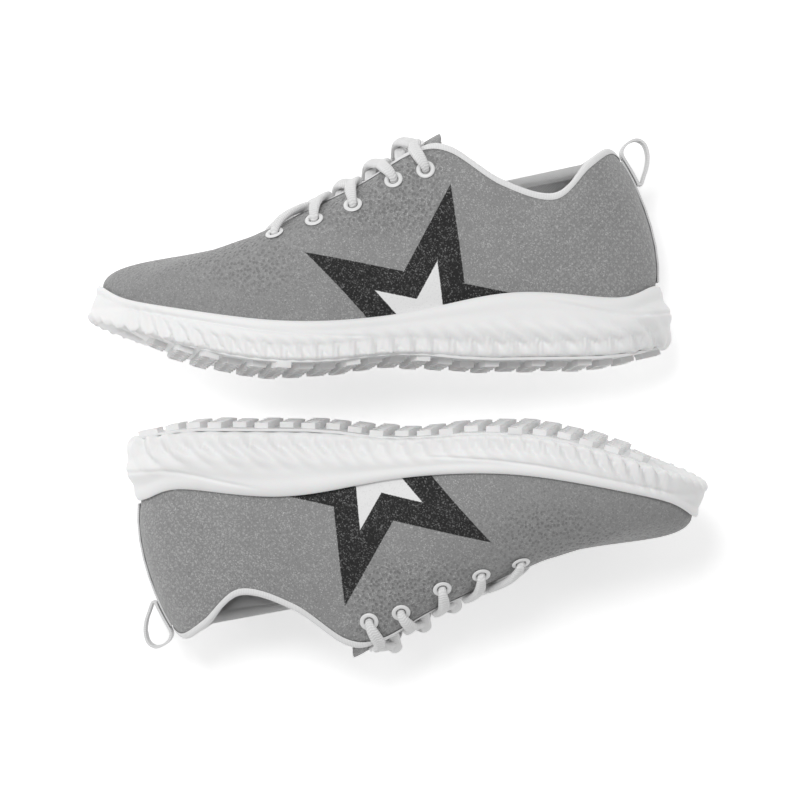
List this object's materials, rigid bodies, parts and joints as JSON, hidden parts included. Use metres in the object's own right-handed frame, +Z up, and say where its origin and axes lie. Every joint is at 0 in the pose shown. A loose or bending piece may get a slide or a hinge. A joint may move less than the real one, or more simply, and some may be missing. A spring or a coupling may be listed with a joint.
{
  "type": "pair of cheer shoes",
  "caption": "Pair of low lace-up cheer shoes in grey knit with white foam soles, laid on their sides sole to sole, with tongues, insoles and heel loops that move.",
  "frame": {"origin": "centre of the pair on the surface it lies on", "axes": "+X from the left shoe's toe towards its heel, along the row; +Y towards the left shoe; +Z up"},
  "size_m": [0.2857, 0.2473, 0.0998],
  "materials": {
    "foam": "matte moulded foam",
    "tread": "matte moulded rubber",
    "board": "felted fibre board",
    "insole": "fabric over foam",
    "knit": "fine knit with a printed pattern",
    "stiffener": "matte sheet",
    "padding": "open foam",
    "backing": "woven tape",
    "lining": "brushed knit",
    "webbing": "woven",
    "eyelet": "satin",
    "lace": "ribbed braid",
    "tip": "clear gloss"
  },
  "bodies": {
    "left_shoe": {"left_midsole": "foam", "left_outsole": "tread", "left_lasting_board": "board", "left_upper": "knit", "left_toe_puff": "stiffener", "left_heel_counter": "stiffener", "left_collar_foam": "padding", "left_eyestay_backing": "backing", "left_lining": "lining", "left_topline_binding": "webbing", "left_eyelets": "eyelet", "left_lace": "lace", "left_aglets": "tip", "left_heel_tape": "webbing"},
    "left_insole": {"left_insole": "insole"},
    "left_tongue": {"left_tongue_cover": "knit", "left_tongue_foam": "padding", "left_tongue_lining": "lining", "left_lace_keeper": "webbing"},
    "left_loop": {"left_pull_loop": "webbing"},
    "right_shoe": {"right_midsole": "foam", "right_outsole": "tread", "right_lasting_board": "board", "right_upper": "knit", "right_toe_puff": "stiffener", "right_heel_counter": "stiffener", "right_collar_foam": "padding", "right_eyestay_backing": "backing", "right_lining": "lining", "right_topline_binding": "webbing", "right_eyelets": "eyelet", "right_lace": "lace", "right_aglets": "tip", "right_heel_tape": "webbing"},
    "right_insole": {"right_insole": "insole"},
    "right_tongue": {"right_tongue_cover": "knit", "right_tongue_foam": "padding", "right_tongue_lining": "lining", "right_lace_keeper": "webbing"},
    "right_loop": {"right_pull_loop": "webbing"}
  },
  "joints": [
    {"name": "left_tongue_tilt", "type": "hinge", "parent": "left_shoe", "child": "left_tongue", "pos_m": [-0.0747, 0.06678, 0.0494], "axis": [-0.1, -0.0558, -0.9934], "range_deg": [0, 8], "stiffness_Nm_per_rad": 0.05},
    {"name": "left_insole_lift", "type": "hinge", "parent": "left_shoe", "child": "left_insole", "pos_m": [-0.1319, 0.04408, 0.0504], "axis": [0.1, 0.0558, 0.9934], "range_deg": [0, 4], "stiffness_Nm_per_rad": 0.1},
    {"name": "left_loop_flex", "type": "hinge", "parent": "left_shoe", "child": "left_loop", "pos_m": [0.11504, 0.09865, 0.02852], "axis": [-0.1, -0.0558, -0.9934], "range_deg": [0, 40], "stiffness_Nm_per_rad": 0.004},
    {"name": "right_shoe_lift", "type": "slide", "parent": "left_shoe", "child": "right_shoe", "axis": [0, 0, 1], "range_m": [0, 0.25]},
    {"name": "right_tongue_tilt", "type": "hinge", "parent": "right_shoe", "child": "right_tongue", "pos_m": [0.07643, -0.06778, 0.04881], "axis": [0.0944, 0.0445, -0.9945], "range_deg": [0, 8], "stiffness_Nm_per_rad": 0.05},
    {"name": "right_insole_lift", "type": "hinge", "parent": "right_shoe", "child": "right_insole", "pos_m": [0.1331, -0.04717, 0.06114], "axis": [-0.0944, -0.0445, 0.9945], "range_deg": [0, 4], "stiffness_Nm_per_rad": 0.1},
    {"name": "right_loop_flex", "type": "hinge", "parent": "right_shoe", "child": "right_loop", "pos_m": [-0.11424, -0.09469, 0.0295], "axis": [0.0944, 0.0445, -0.9945], "range_deg": [0, 40], "stiffness_Nm_per_rad": 0.004}
  ]
}
